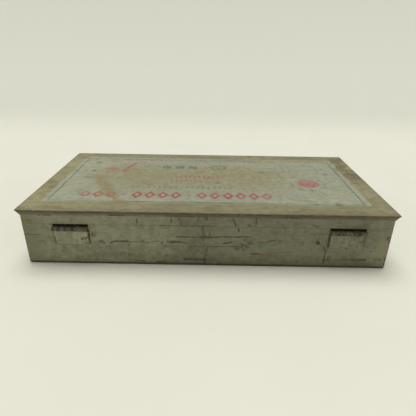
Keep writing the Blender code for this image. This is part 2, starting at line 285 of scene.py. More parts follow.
    def stroke(self, flat, start, end, width, depth=1.0, soft=0.25):
        """A straight line with round ends, from start to end."""
        run = Vector((end[0] - start[0], end[1] - start[1], 0.0))
        offset = self.vector("SUBTRACT", flat, (*start, 0.0))
        share = self.vector("DOT_PRODUCT", offset, tuple(run / run.length_squared))
        share = self.math("MINIMUM", self.math("MAXIMUM", share, 0.0), 1.0)
        nearest = self.vector("SCALE", tuple(run), scale=share)
        away = self.vector("DISTANCE", offset, nearest)
        return self.ramp(away, width / 2 + soft, max(width / 2 - soft, 0.0), 0.0, depth)

    def marks(self, flat, strokes=(), blots=()):
        """Strokes (start, end, width, depth) and blots (centre, radius, depth), together. Each
        joins the mask as it is made, because a shader can keep only so many values waiting."""
        mask = 0.0
        for stroke in strokes:
            mask = self.most(mask, self.stroke(flat, *stroke))
        for centre, radius, depth in blots:
            mask = self.most(mask, self.disc(flat, centre, 1.1 * radius, 0.5 * radius, depth))
        return mask

    def finish(self, colour, roughness, metallic=0.0, height=None, relief=0.05):
        """The surface shader. height runs from 0 to 1 and stands for relief, in mm."""
        shader = self.tree.nodes.new("ShaderNodeBsdfPrincipled")
        self.feed(shader.inputs["Base Color"], colour)
        self.feed(shader.inputs["Roughness"], roughness)
        self.feed(shader.inputs["Metallic"], metallic)
        if height is not None:
            bump = self.tree.nodes.new("ShaderNodeBump")
            bump.inputs["Strength"].default_value = 1.0
            bump.inputs["Distance"].default_value = relief * MM
            self.feed(bump.inputs["Height"], height)
            self.tree.links.new(bump.outputs["Normal"], shader.inputs["Normal"])
        output = self.tree.nodes.new("ShaderNodeOutputMaterial")
        self.tree.links.new(shader.outputs["BSDF"], output.inputs["Surface"])
        return self.material


# ---------------------------------------------------------------- the marks of the hinge wall

MARK_REACH = 3.0        # a mark this close to a piece may show on it
# In (x, z): strokes have a start, an end, a width and a depth of colour; blots have a centre, a
# radius and a depth.
WALL_SCRATCHES = (
    # the long scored line, and fainter ones
    ((-23, 24.9), (-2, 25.2), 1.0, 0.9),
    ((-2, 25.2), (33, 26.2), 1.0, 0.95),
    ((-5, 25), (3, 25.3), 2.0, 0.8),
    ((1, 17.1), (26, 17.4), 0.8, 0.75),
    ((-14, 16.6), (-2, 16.8), 1.0, 0.5),
    ((76, 29.3), (91, 29.6), 0.7, 0.5),
    ((38, 21.6), (48.7, 21.8), 0.9, 0.6),
    ((46, 22.2), (52, 23.2), 1.3, 0.75),
    ((12.9, 20.2), (18.8, 21.3), 1.4, 0.95),
    ((-26.8, 20.5), (-21.6, 20.3), 1.9, 0.95),
    ((-21.6, 20.3), (-16, 19.7), 1.5, 0.6),
    # under the rim: nicks running down, and dirt along it
    ((-52, 39.5), (-52, 35.6), 1.0, 0.8),
    ((-26, 42.5), (-26.8, 37.3), 1.3, 0.8),
    ((-20.3, 41), (-18.5, 35.6), 1.3, 0.75),
    ((-6, 42.8), (-6.4, 38), 1.1, 0.6),
    ((-1, 43), (-0.8, 40), 2.6, 0.6),
    ((19, 40.5), (21.4, 35), 1.4, 0.85),
    ((23.4, 33), (23.8, 30.6), 1.3, 0.8),
    ((36, 42.5), (36, 35.6), 0.9, 0.85),
    ((-30, 42.9), (-11, 42.7), 1.4, 0.8),
    ((-72, 43), (-61, 43), 1.6, 0.85),
    ((-124, 41.5), (-115, 41.9), 1.3, 0.8),
    ((56, 43), (68, 43), 1.3, 0.7),
    ((78, 37), (81.6, 35.6), 1.2, 0.6),
    # the crossing of the score and the seam
    ((-2.7, 35), (-2.9, 30.6), 1.6, 0.6),
    ((-2.4, 30), (-2.6, 22.3), 2.2, 0.55),
    ((2.4, 28.6), (2.0, 25.5), 1.2, 0.7),
    ((-35, 34.7), (4, 34.7), 1.1, 0.4),
    # the left end
    ((-136.5, 25), (-126, 25.2), 1.1, 0.6),
    ((-131, 23.2), (-126.5, 23.4), 0.8, 0.55),
    # low down
    ((-17, 5.3), (-2, 5.6), 1.6, 0.85),
    ((-34.6, 7.6), (-29.4, 8.9), 1.0, 0.6),
    ((98, 7.6), (122, 7.8), 1.2, 0.5),
    ((112, 7.5), (122, 7.9), 2.0, 0.75),
    ((129, 7.8), (133, 7.6), 2.4, 0.5),
    ((33.7, 11.0), (39, 10.8), 1.1, 0.9),
    # the worn corners of the left leaf
    ((-94, 22.8), (-90, 24), 1.9, 0.85),
    ((-114, 24.4), (-114.3, 18), 1.5, 0.7),
    ((-114, 17.7), (-110, 17.6), 1.1, 0.6),
)
WALL_BLOTS = (
    ((-29.7, 20.8), 1.1, 0.7), ((-33.6, 19.4), 1.2, 0.7), ((-31.7, 16.4), 1.5, 0.75),
    ((-12.8, 16.3), 1.2, 0.8), ((23.0, 15.4), 1.9, 0.8), ((28.4, 16.6), 2.2, 0.9),
    ((30.6, 16.9), 1.5, 0.9), ((26.6, 19.4), 1.4, 0.8), ((28.8, 23.3), 1.1, 0.6),
    ((32.5, 21.5), 1.8, 0.55), ((39.8, 18.7), 1.9, 0.45), ((51.3, 19.7), 1.3, 0.5),
    ((55.5, 22.6), 1.2, 0.7), ((-48.8, 20.1), 1.6, 0.8), ((-45.4, 20.0), 1.0, 0.7),
    ((-79.3, 20.0), 1.6, 0.7), ((-74.8, 14.6), 2.2, 0.5), ((-64.0, 9.8), 2.2, 0.5),
    ((-58.6, 8.8), 2.0, 0.5), ((-91.6, 19.4), 1.2, 0.7), ((-85.0, 26.0), 1.7, 0.9),
    ((94.0, 9.8), 1.3, 0.6), ((93.6, 7.4), 1.6, 0.7), ((111.6, 14.2), 1.4, 0.45),
    ((136.4, 26.3), 1.8, 0.9), ((137.4, 23.4), 1.3, 0.8), ((81.4, 35.6), 1.1, 0.8),
    ((31.4, 36.0), 1.3, 0.6), ((-131.8, 36.4), 1.7, 0.6),
)
# Brown stains strung along the middle of the wall, and the thread of brown between them.
WALL_STAINS = (
    ((-73, 19.4), (-68.5, 20.8), 1.4, 0.8),
    ((-68.5, 20.6), (-60, 20.4), 1.9, 0.9),
    ((-60.7, 15.5), (-57.4, 19.9), 0.9, 0.5),
    ((-57.4, 19.9), (-52, 20.5), 0.9, 0.6),
    ((-81.5, 21), (-77, 19), 1.2, 0.65),
    ((0.8, 16.8), (-0.1, 11.6), 1.2, 0.85),
    ((-0.1, 11.6), (-0.8, 7.7), 1.1, 0.75),
    ((84.5, 21.4), (89.2, 17.6), 0.9, 0.85),
    ((89.2, 17.6), (90.6, 14.2), 1.0, 0.9),
    ((90.6, 14.2), (90.1, 4.0), 1.1, 0.95),
)
THREAD_X = (-84.0, 57.0)
THREAD_Z = (19.8, 20.6)
# Red rust that has come through the paint.
WALL_RUST = (
    ((-1.9, 6.0), (-1.3, 2.6), 2.0, 0.95),
    ((39, 10.7), (43.5, 10.3), 1.2, 0.95),
    ((-55, 3.5), (-47.7, 3.3), 1.6, 0.7),
    ((-38.5, 2.6), (-30, 2.5), 1.4, 0.8),
    ((136.4, 9), (137.4, 3.6), 1.9, 0.75),
    ((83.4, 22.6), (83.9, 21.4), 2.7, 0.95),
    ((89.7, 7.4), (89.9, 6.4), 1.6, 0.8),
    ((-109.6, 14.6), (-106.8, 13.4), 1.1, 0.45),
)
# The dirt beside each hinge leaf is thicker on the side towards the middle of the wall.
CREVICE_DEPTHS = {"left": (0.75, 1.0), "right": (1.0, 0.7)}


def leaf_shadow(g, ragged):
    """Dirt in the crevice round each hinge leaf."""
    lines = []
    for side in SIDES:
        low, high = box_mm(f"hinge_lower_leaf_{side}")
        for x, depth in zip((low.x, high.x), CREVICE_DEPTHS[side]):
            lines.append(((x, low.z + 0.8), (x, BARREL_LOW_Z), 1.4, depth, 0.4))
        lines.append(((low.x + 1.5, low.z), (high.x - 1.5, low.z), 0.8, 0.35, 0.35))
    return g.times(g.marks(g.flat(g.x, g.z), lines), g.ramp(ragged, 0.34, 0.48, 0.55, 1.0))


def touching(marks, node):
    """The marks of a list that come near a piece."""
    low, high = box_mm(node)
    near = []
    for mark in marks:
        ends = [part for part in mark if isinstance(part, tuple)]
        across = [x for x, z in ends]
        up = [z for x, z in ends]
        beside = min(across) < high.x + MARK_REACH and max(across) > low.x - MARK_REACH
        if beside and min(up) < high.z + MARK_REACH and max(up) > low.z - MARK_REACH:
            near.append(mark)
    return near


def near_wall_marks(g, colour, node):
    """The scratches, rust and stains of the hinge wall, as far as they touch a piece.
    Gives the colour and the chipped part."""
    near = g.ramp(g.y, -WALL_Y + 4.0, -WALL_Y + 2.0)
    ragged = g.noise(2.2, 3.0, shift=31.0)
    waver = g.noise(9.0, 2.0, shift=21.0)
    jitter = g.noise(2.6, 3.0, shift=25.0)
    swell = g.noise(12.0, 3.0, shift=27.0)
    u = g.plus(g.x, g.sway(waver, 2.0), g.sway(jitter, 1.8))
    v = g.plus(g.z, g.sway(swell, 2.0), g.sway(ragged, 1.6))
    flat = g.flat(u, v)
    broken = g.ramp(ragged, 0.32, 0.50, 0.55, 1.0)

    wander = g.plus(v, g.sway(g.noise(11.0, 2.0, shift=43.0), 6.0))
    gaps = g.ramp(g.noise(5.0, 2.0, shift=47.0), 0.46, 0.56)
    thread = g.times(g.band(wander, *THREAD_Z, 0.5), gaps, g.band(g.x, *THREAD_X, 3.0), 0.6)
    stains = g.times(g.most(thread, g.marks(flat, touching(WALL_STAINS, node))), near, broken)
    colour = g.mix(stains, colour, STAIN_DARK)

    blots = g.marks(flat, (), touching(WALL_BLOTS, node))
    blots = g.times(blots, g.ramp(jitter, 0.42, 0.56, 0.25, 1.0))
    dark = g.most(blots, g.marks(flat, touching(WALL_SCRATCHES, node)), leaf_shadow(g, ragged))
    dark = g.times(dark, near, broken)
    colour = g.mix(dark, colour, g.mix(g.ramp(waver, 0.45, 0.55), GRIME_AND_SHADE, STAIN_DARK))

    rust = g.times(g.marks(flat, touching(WALL_RUST, node)), near)
    colour = g.mix(rust, colour, g.mix(g.ramp(ragged, 0.40, 0.58), RUST_DARK, RUST_RED))
    return colour, g.most(stains, dark, rust)


# ---------------------------------------------------------------- the painted case

PAINT_RELIEF = 0.10                               # mm
PAINTED_SHADE_FROM, PAINTED_SHADE_TO = (-40.0, 0.0), (138.0, 112.0)     # where the painted shade on the hinge wall fades, in x
CORNER_WEAR = (2.2, 0.8)                          # wear sets in this far from a corner's edge
FOOT_SHADE_BAND = (2.7, 1.3)                            # the painted shade along the lower edge of the base, in z


def paint_height(g, chipped):
    """The relief of old enamel: a little orange peel, with the chips sunk into it."""
    peel = g.noise(1.6, 2.0, shift=5.0)
    return g.math("SUBTRACT", g.times(peel, 0.45), g.times(chipped, 0.5))


def wall_colour(g):
    """Grey-green enamel on the walls: blotched, smeared and stained, with painted shade over the
    middle and right of the hinge wall and at the foot of the walls.
    """
    cloud = g.noise(34.0, 3.0, stretch=(1.6, 1.6, 1.0))
    mottle = g.noise(5.0, 4.0, shift=9.0, roughness=0.62)
    speckle = g.noise(1.6, 3.0, stretch=(1.5, 1.5, 1.0), shift=13.0, roughness=0.65)
    tone = g.weighted((cloud, 0.40), (mottle, 0.35), (speckle, 0.25))
    colour = g.mix(g.ramp(tone, 0.38, 0.62), WALL_PAINT_DARK, WALL_PAINT_LIGHT)

    # painted shade: the hinge wall is darker over its middle, and to its right
    painted_shade_and_dull_steel = g.times(g.ramp(g.x, *PAINTED_SHADE_FROM), g.ramp(g.x, *PAINTED_SHADE_TO), g.ramp(g.y, 0.0, -60.0))
    colour = g.shade(colour, g.plus(1.0, g.times(painted_shade_and_dull_steel, -0.29)))
    # handling has left long, thin, level smears
    smear = g.noise(3.2, 4.0, stretch=(7.0, 7.0, 1.0), shift=3.0, roughness=0.6)
    colour = g.mix(g.times(g.ramp(smear, 0.54, 0.72), 0.36), colour, STAIN_BROWN)
    # painted shade: the foot of the wall is darker, less so at its left end
    foot = g.ramp(g.plus(g.z, g.times(mottle, 8.0)), 17.0, 3.0)
    foot = g.times(foot, g.ramp(g.x, -100.0, -40.0, 0.4, 1.0))
    colour = g.mix(g.times(foot, 0.46), colour, GRIME_AND_SHADE)
    # both ends of the case are stained yellow-brown, the left one more
    end = g.times(g.ramp(g.gap(g.x), WALL_X - 17.0, WALL_X - 3.0), g.ramp(mottle, 0.44, 0.58))
    end = g.times(end, g.ramp(g.gap(g.y), WALL_Y - 1.5, WALL_Y - 0.5, 0.4, 1.0))
    return g.mix(g.times(end, g.ramp(g.x, 20.0, -20.0, 0.35, 0.8)), colour, STAIN_OLIVE)


def edge_wear(g, colour, edge_mask):
    """Paint rubbed off an edge, down to brown steel, in a broken line."""
    broken = g.ramp(g.noise(4.0, 4.0, shift=51.0, roughness=0.65), 0.36, 0.56)
    worn = g.times(edge_mask, broken)
    rusty = g.mix(g.ramp(g.noise(9.0, 2.0, shift=57.0), 0.42, 0.6), GRIME_AND_SHADE, RUST)
    return g.mix(g.times(worn, 0.85), colour, rusty), worn


def chips(g, colour, threshold=0.70):
    """Small chips down to dark steel, scattered: the lower the threshold, the more of them."""
    spots = g.ramp(g.noise(2.6, 2.0, shift=61.0), threshold, threshold + 0.05)
    thin_out = g.ramp(g.noise(28.0, 2.0, shift=67.0), 0.44, 0.6)
    spots = g.times(spots, thin_out)
    return g.mix(g.times(spots, 0.8), colour, RUST_DARK), spots


def inner_faces(g):
    """The inner side of the four walls, and all that lies between them."""
    inner_x = g.band(g.x, -WALL_X + INNER_SIDE, WALL_X - INNER_SIDE, 0.1)
    inner_y = g.band(g.y, -WALL_Y + INNER_SIDE, WALL_Y - INNER_SIDE, 0.1)
    return g.times(inner_x, inner_y)


def lining_colour(g, freckles):
    """The paint inside, which light and hands have hardly reached: fine grain, dust, faint
    scuffs and freckles of rust."""
    dust = g.noise(12.0, 5.0, shift=71.0, roughness=0.68)
    grain = g.noise(2.4, 3.0, shift=73.0, roughness=0.62)
    tone = g.weighted((dust, 0.45), (grain, 0.55))
    lining = g.mix(g.ramp(tone, 0.38, 0.62), toned(INSIDE_PAINT, 0.82), toned(INSIDE_PAINT, 1.12))
    scuff = g.ramp(g.noise(2.0, 3.0, stretch=(14, 2, 14), shift=75.0), 0.60, 0.70)
    lining = g.mix(g.times(scuff, 0.4), lining, toned(WALL_PAINT_LIGHT, 1.1))
    return g.mix(g.times(freckles, 0.7), lining, RUST_DARK)


def case_material():
    """The base of the case, outside and in."""
    g = Graph("case_paint")
    colour, marks = near_wall_marks(g, wall_colour(g), "base_pan")
    inside = g.times(inner_faces(g), g.ramp(g.z, 0.5, 0.7))
    outside = g.other_than(inside)
    freckles = g.ramp(g.noise(3.4, 4.0, shift=77.0, roughness=0.7), 0.60, 0.72)
    colour = g.mix(inside, colour, lining_colour(g, freckles))

    # the upright corners and the lower edge are rubbed, and painted shade darkens the lower edge
    start, full = CORNER_WEAR
    corner = g.times(g.ramp(g.gap(g.x), WALL_X - start, WALL_X - full),
                     g.ramp(g.gap(g.y), WALL_Y - start, WALL_Y - full))
    ragged_z = g.plus(g.z, g.times(g.noise(14.0, 3.0, shift=83.0), 1.6))
    bottom = g.times(g.ramp(ragged_z, 2.9, 1.2), outside)
    colour, worn = edge_wear(g, colour, g.most(corner, bottom))
    # painted shade: a near-black band along the foot of the outside walls
    colour = g.mix(g.times(g.ramp(g.z, *FOOT_SHADE_BAND), outside, 0.9), colour, toned(GRIME_AND_SHADE, 0.55))
    colour, spots = chips(g, colour)
    bare = g.most(marks, worn, spots)
    rough = g.varied(0.52, 0.22, 7.0, shift=91.0)
    return g.finish(colour, rough, g.times(bare, 0.25), paint_height(g, bare), PAINT_RELIEF)


# ---------------------------------------------------------------- the print on the lid

# Places are (x, y) on the lid.
FRAME_LINE_CENTRE, FRAME_LINE_SIZE, FRAME_LINE_WIDTH = (-1.2, 0.0), (243.5, 107.0), 1.5
NEAR_RULE_X, NEAR_RULE_Y = (-60.0, 82.0), (-54.3, -52.2)
HEADING_LEFT, HEADING_PITCH, HEADING_COUNT = -103.5, 10.4, 16
HEADING_Y, HEADING_HEIGHT = -39.6, 15.0
HEADING_DOTS = (3, 8, 15)
LOZENGE_SHARE = 0.48            # a lozenge's half width, as a share of the pitch
LOZENGE_OUTER, LOZENGE_INNER = (1.03, 0.93), (0.36, 0.46)     # its edges, 1 at its points
# Rows of ticks: centre in y, height, pitch, each tick's share of the pitch, and both ends in x.
GREEN_BARS = (29.5, 8.0, 12.4, 0.7, -46.5, -9.0)
PALE_GREEN_BARS = (30.5, 8.0, 12.0, 0.6, -66.0, -47.0)
SMALL_GREEN_TICKS = (-22.5, 5.0, 4.6, 0.5, -66.0, 21.0)
FAR_GREEN_TICKS = (54.0, 5.0, 4.0, 0.5, 18.0, 44.0)
UPPER_RED_TICKS = (3.0, 6.5, 4.2, 0.5, -48.0, 15.0)
LOWER_RED_TICKS = (-6.0, 5.5, 4.2, 0.5, -34.0, -5.0)
FAR_RED_TICKS = (49.5, 4.5, 5.0, 0.66, -96.0, 50.0)
TARGET_CENTRE, TARGET_RADIUS, TARGET_STRETCH = (9.5, 34.0), 6.6, 1.15
PALE_RING_CENTRE, PALE_RING_RADIUS = (32.0, 24.0), 7.5
FAINT_BOX_CENTRE, FAINT_BOX_SIZE, FAINT_BOX_LINE = (87.0, 28.0), (32.0, 20.0), 1.6
GREEN_SPOT_CENTRE = (49.5, 18.0)
RED_SPOT_CENTRE = (-92.5, 22.0)
SLASH_START, SLASH_END = (-79.5, 17.0), (-72.5, 40.0)
BADGE_CENTRE, BADGE_EDGE = (87.5, -9.0), (10.4, 8.6)
BADGE_RING_CENTRE, BADGE_RING_RADIUS = (87.0, -11.0), 14.5


def lozenge_row(g, u, v):
    """The heading: a row of bold open lozenges, with a dot in place of one here and there."""
    run = g.times(g.plus(u, -HEADING_LEFT), 1 / HEADING_PITCH)
    cell = g.times(g.plus(g.math("FRACT", run), -0.5), HEADING_PITCH)
    rise = g.plus(v, -HEADING_Y)
    across = g.times(g.gap(cell), 1 / (HEADING_PITCH * LOZENGE_SHARE))
    reach = g.plus(across, g.times(g.gap(rise), 2 / HEADING_HEIGHT))
    lozenge = g.times(g.ramp(reach, *LOZENGE_OUTER), g.ramp(reach, *LOZENGE_INNER))
    dot = g.disc(g.flat(cell, rise), (0.0, 0.0), 1.6, 0.35)
    place = g.math("FLOOR", run)
    is_dot = g.plus(*(g.math("COMPARE", place, float(number), 0.5) for number in HEADING_DOTS))
    row = g.plus(g.times(lozenge, g.other_than(is_dot)), g.times(dot, is_dot, 0.7))
    return g.times(row, g.band(u, HEADING_LEFT, HEADING_LEFT + HEADING_PITCH * HEADING_COUNT, 0.1))


def tick_row(g, u, v, centre_y, height, pitch, fill, low, high):
    """A row of upright ticks between low and high."""
    soft = 0.3
    cell = g.gap(g.math("FRACT", g.times(g.plus(u, -low), 1 / pitch)), 0.5)
    ticks = g.ramp(cell, fill / 2 + soft / pitch, fill / 2 - soft / pitch)
    level = g.band(v, centre_y - height / 2, centre_y + height / 2, soft)
    return g.times(ticks, level, g.band(u, low, high, soft))


def green_print(g, u, v, ink):
    """The frame line, and the green bars, rings and ticks."""
    flat = g.flat(u, v)
    line = g.outline(u, v, FRAME_LINE_CENTRE, FRAME_LINE_SIZE, FRAME_LINE_WIDTH)
    near_rule = g.times(g.band(v, *NEAR_RULE_Y, 0.4), g.band(u, *NEAR_RULE_X, 3.0), 0.6)
    stretched = g.flat(u, g.times(v, TARGET_STRETCH))
    target_ring = g.ring(stretched, TARGET_CENTRE, TARGET_RADIUS, 1.35, 0.45)
    target = g.most(target_ring, g.disc(stretched, TARGET_CENTRE, 1.9, 0.5))
    spot = g.disc(flat, GREEN_SPOT_CENTRE, 2.6, 1.2, 0.8)
    badge_gaps = g.ramp(g.noise(9.0, 1.0, shift=113.0), 0.47, 0.53)
    badge_ring = g.ring(flat, BADGE_RING_CENTRE, BADGE_RING_RADIUS, 1.35, 0.55)
    box = g.outline(u, v, FAINT_BOX_CENTRE, FAINT_BOX_SIZE, FAINT_BOX_LINE)

    faint = g.most(
        g.times(tick_row(g, u, v, *SMALL_GREEN_TICKS), 0.6),
        g.times(tick_row(g, u, v, *FAR_GREEN_TICKS), 0.5),
        g.times(badge_ring, badge_gaps, 0.8),
        g.times(box, 0.35),
        g.times(tick_row(g, u, v, *PALE_GREEN_BARS), 0.5),
        g.ring(flat, PALE_RING_CENTRE, PALE_RING_RADIUS, 1.05, 0.45, 0.4))
    ruled = g.times(g.most(line, near_rule), g.ramp(ink, 0.0, 1.0, 0.35, 0.85))
    strong = g.most(tick_row(g, u, v, *GREEN_BARS), target, spot)
    strong = g.times(strong, g.ramp(ink, 0.0, 1.0, 0.60, 0.85))
    return g.most(g.times(faint, ink), ruled, strong)


def red_print(g, u, v, ink, wear):
    """The heading, the slanted bar, the badge, and the red ticks."""
    flat = g.flat(u, v)
    heading = g.times(lozenge_row(g, u, v), g.ramp(g.x, -115.0, -62.0, 0.65, 1.0))
    slash = g.stroke(flat, SLASH_START, SLASH_END, 3.8, 0.8, 0.9)
    slash = g.times(slash, g.ramp(wear, 0.36, 0.52, 0.4, 1.0))
    badge_reach = g.plus(g.reach(flat, BADGE_CENTRE), g.sway(wear, 9.0))
    badge_wear = g.ramp(g.noise(2.6, 3.0, shift=117.0), 0.36, 0.50, 0.35, 1.0)
    badge_fade = g.ramp(g.y, 0.0, -14.0, 0.7, 1.0)
    badge = g.times(g.ramp(badge_reach, *BADGE_EDGE), badge_wear, badge_fade)

    upper_fade = g.ramp(g.x, -50.0, -10.0, 0.25, 0.75)
    faint = g.most(
        g.disc(flat, RED_SPOT_CENTRE, 5.4, 2.6, 0.75),
        g.times(tick_row(g, u, v, *UPPER_RED_TICKS), upper_fade),
        g.times(tick_row(g, u, v, *LOWER_RED_TICKS), 0.6),
        g.times(tick_row(g, u, v, *FAR_RED_TICKS), 0.6))
    faint = g.times(faint, g.plus(g.times(ink, 0.6), 0.2))
    strong = g.times(g.most(heading, slash, badge), g.plus(g.times(ink, 0.35), 0.60))
    return g.most(faint, strong)


def lid_print(g, colour):
    """The worn print on the lid: plain rows of marks and rules, with no lettering."""
    wear = g.noise(3.0, 4.0, shift=101.0, roughness=0.6)
    rub = g.noise(26.0, 3.0, stretch=(1.3, 1, 1), shift=103.0)
    ink = g.ramp(g.weighted((wear, 0.5), (rub, 0.5)), 0.40, 0.58)
    waver = g.sway(g.noise(6.0, 2.0, shift=107.0), 0.8)
    u = g.plus(g.x, waver)
    v = g.plus(g.y, waver)
    colour = g.mix(g.times(green_print(g, u, v, ink), 0.9), colour, PRINT_GREEN)
    return g.mix(red_print(g, u, v, ink, wear), colour, PRINT_RED)


# ---------------------------------------------------------------- the lid

PANEL_CENTRE, PANEL_SIZE = (-0.8, 1.5), (253.0, 113.0)
BLEACHED_CENTRE, BLEACHED_RADIUS = (-105.0, 13.0), 10.0
# Old gum along the far edge: centre, size and softness.
GUM = (((58.0, 50.5), (17.0, 9.0), 3.0), ((95.0, 54.0), (46.0, 8.0), 4.0))
# Stains as on the hinge wall, but in (x, y); a stroke may end with how soft it is.
LID_DRIPS = (
    ((-97, 0), (-88, -20), 7.0, 0.65, 4.0),
    ((-88, -20), (-79, -38), 10.0, 0.80, 5.0),
    ((-79, -38), (-70, -52), 3.8, 0.90, 1.8),
    ((-70, -52), (-60, -59), 5.0, 0.90, 2.0),
)
LID_LINES = (
    ((73, -47), (82, -47), 1.8, 0.45),
    ((-54, -53.5), (-48, -53.5), 1.6, 0.6),
)
LID_DABS = (
    ((4, -63), 6.0, 0.45), ((100, -53.5), 2.4, 0.65), ((103, -53.0), 1.6, 0.55),
    ((109, 16), 2.2, 0.7), ((109, 30), 1.8, 0.6), ((-110, 41), 2.6, 0.6),
    ((-107.5, 16), 2.0, 0.75), ((8.5, -11), 1.6, 0.7), ((66, 8), 1.8, 0.4),
    ((133, 12), 6.5, 0.6), ((127, 30), 5.0, 0.5), ((136, 44), 4.0, 0.6),
    ((135, 26), 3.5, 0.6), ((-130, -27), 3.0, 0.5), ((-134, -15), 3.0, 0.4),
    ((127, 50), 3.0, 0.45), ((130, 3), 3.0, 0.55), ((-128, 56), 3.0, 0.4),
)


def border_colour(g, tone, mottle):
    """The tan border of the lid: darkest along its near edge and at the far right corner."""
    border = g.mix(g.ramp(tone, 0.40, 0.60), BORDER_DARK, BORDER_LIGHT)
    smutch = g.noise(9.0, 4.0, stretch=(1.5, 1, 1), shift=127.0, roughness=0.62)
    right_end = g.times(g.ramp(g.x, 120.0, 128.0), g.ramp(g.y, -25.0, 10.0))
    smutch = g.ramp(g.plus(smutch, g.times(right_end, 0.12)), 0.55, 0.67)
    depth = g.plus(0.50, g.times(right_end, 0.35))
    border = g.mix(g.times(smutch, depth), border, STAIN_DRAB)
    # painted shade: the border darkens from left to right, as the light falls
    border = g.shade(border, g.ramp(g.x, -60.0, 60.0, 1.0, 0.92))
    border = g.shade(border, g.ramp(g.gap(g.x), 110.0, 126.0, 1.0, 1.16))
    handled = g.ramp(g.plus(g.y, g.sway(mottle, 12.0)), -62.0, -71.0)
    return g.mix(g.times(handled, 0.30), border, STAIN_DRAB)


def panel_colour(g, tone, mottle, grain):
    """The printed panel's ground: palest round its rim, and rubbed to tan across its middle."""
    drift = g.sway(g.noise(30.0, 3.0, shift=133.0), 60.0)
    middle_x = g.ramp(g.gap(g.plus(g.x, drift, 14.0)), 118.0, 58.0)
    middle_y = g.ramp(g.gap(g.plus(g.y, g.times(drift, 0.5), -1.0)), 58.0, 8.0)
    rubbed = g.plus(g.times(middle_x, middle_y, 0.72), g.sway(tone, 3.0))
    pale = g.mix(g.ramp(tone, 0.40, 0.60), toned(PANEL_PALE, 0.80), PANEL_PALE)
    pale = g.shade(pale, g.ramp(g.x, -110.0, -60.0, 1.10, 1.0))
    greenish = g.ramp(g.noise(8.0, 4.0, stretch=(2.0, 1, 1), shift=135.0), 0.46, 0.62)
    pale = g.mix(greenish, pale, PANEL_GREEN)
    browned = g.ramp(g.noise(7.0, 4.0, shift=137.0, roughness=0.65), 0.44, 0.64)
    panel = g.mix(g.ramp(rubbed, -0.05, 0.95), pale, g.mix(browned, PANEL_WORN, PANEL_BROWN))
    panel = g.mix(g.times(g.ramp(grain, 0.52, 0.66), 0.18), panel, PANEL_BROWN)
    patches = g.noise(3.6, 3.0, shift=139.0, roughness=0.6)
    panel = g.shade(panel, g.ramp(patches, 0.36, 0.62, 0.91, 1.09))
    bleached = g.disc(g.place, BLEACHED_CENTRE, BLEACHED_RADIUS, 4.0)
    bleached = g.times(bleached, g.ramp(mottle, 0.42, 0.54), 0.6)
    return g.mix(bleached, panel, BLEACHED)


def lid_top_colour(g):
    """The top of the lid: border, panel and print, with gum, a long drip and dark dabs on them."""
    cloud = g.noise(40.0, 4.0, stretch=(1.4, 1, 1), shift=121.0)
    mottle = g.noise(6.0, 4.0, shift=123.0, roughness=0.62)
    grain = g.noise(1.8, 3.0, stretch=(9, 1, 1), shift=125.0)
    tone = g.weighted((cloud, 0.35), (mottle, 0.35), (grain, 0.30))
    border = border_colour(g, tone, mottle)
    panel = panel_colour(g, tone, mottle, grain)
    edge_sway = g.sway(g.noise(9.0, 4.0, shift=129.0, roughness=0.65), 3.0)
    u = g.plus(g.x, edge_sway)
    v = g.plus(g.y, edge_sway)
    colour = g.mix(g.block(u, v, PANEL_CENTRE, PANEL_SIZE, 0.7), border, panel)
    colour = lid_print(g, colour)

    gum = g.most(*(g.block(g.x, g.y, *patch) for patch in GUM))
    colour = g.mix(g.times(gum, g.ramp(mottle, 0.38, 0.52), 0.8), colour, STAIN_YELLOW)
    ragged = g.sway(g.noise(5.0, 3.0, shift=131.0), 4.0)
    flat = g.flat(g.plus(g.x, ragged), g.plus(g.y, ragged))
    drips = g.times(g.marks(flat, LID_DRIPS), g.ramp(mottle, 0.36, 0.56, 0.45, 1.0))
    colour = g.mix(drips, colour, STAIN_OCHRE)
    return g.mix(g.marks(flat, LID_LINES, LID_DABS), colour, STAIN_DRAB)


def rim_dirt_and_shade(g, colour):
    """The rim's upright edge is black, partly with handling and partly with painted shade, and
    painted shade darkens the flare under it.
    """
    rim = g.most(g.ramp(g.gap(g.x), WALL_X + 0.15, WALL_X + 0.5),
                 g.ramp(g.gap(g.y), WALL_Y + 0.15, WALL_Y + 0.5))
    # painted shade under the overhang of the rim
    under = g.times(rim, g.ramp(g.z, TOP_Z - 5.5, TOP_Z - 1.6, 0.25, 0.75),
                    g.ramp(g.z, TOP_Z - 0.3, TOP_Z - 0.6))
    colour = g.mix(under, colour, GRIME_AND_SHADE)
    # the dark band on the rim's upright edge: partly dirt, partly painted shade
    edge_line = g.times(rim, g.band(g.z, TOP_Z - 1.9, TOP_Z - 0.35, 0.2), 0.8)
    edge_dirt_and_shade = g.mix(g.ramp(g.noise(6.0, 4.0, shift=141.0), 0.42, 0.60), GRIME_AND_SHADE, STAIN_BROWN)
    return g.mix(edge_line, colour, edge_dirt_and_shade)


def lid_edges(g):
    """The lid's outer edges: worn most at both ends and along the far side."""
    ends = g.ramp(g.gap(g.x), LID_X - 1.7, LID_X - 0.5, 0.0, 0.85)
    sides = g.ramp(g.gap(g.y), LID_Y - 0.7, LID_Y - 0.1, 0.0, 0.45)
    far_side = g.ramp(g.y, LID_Y - 2.2, LID_Y - 0.8, 0.0, 0.75)
    return g.most(ends, sides, far_side)


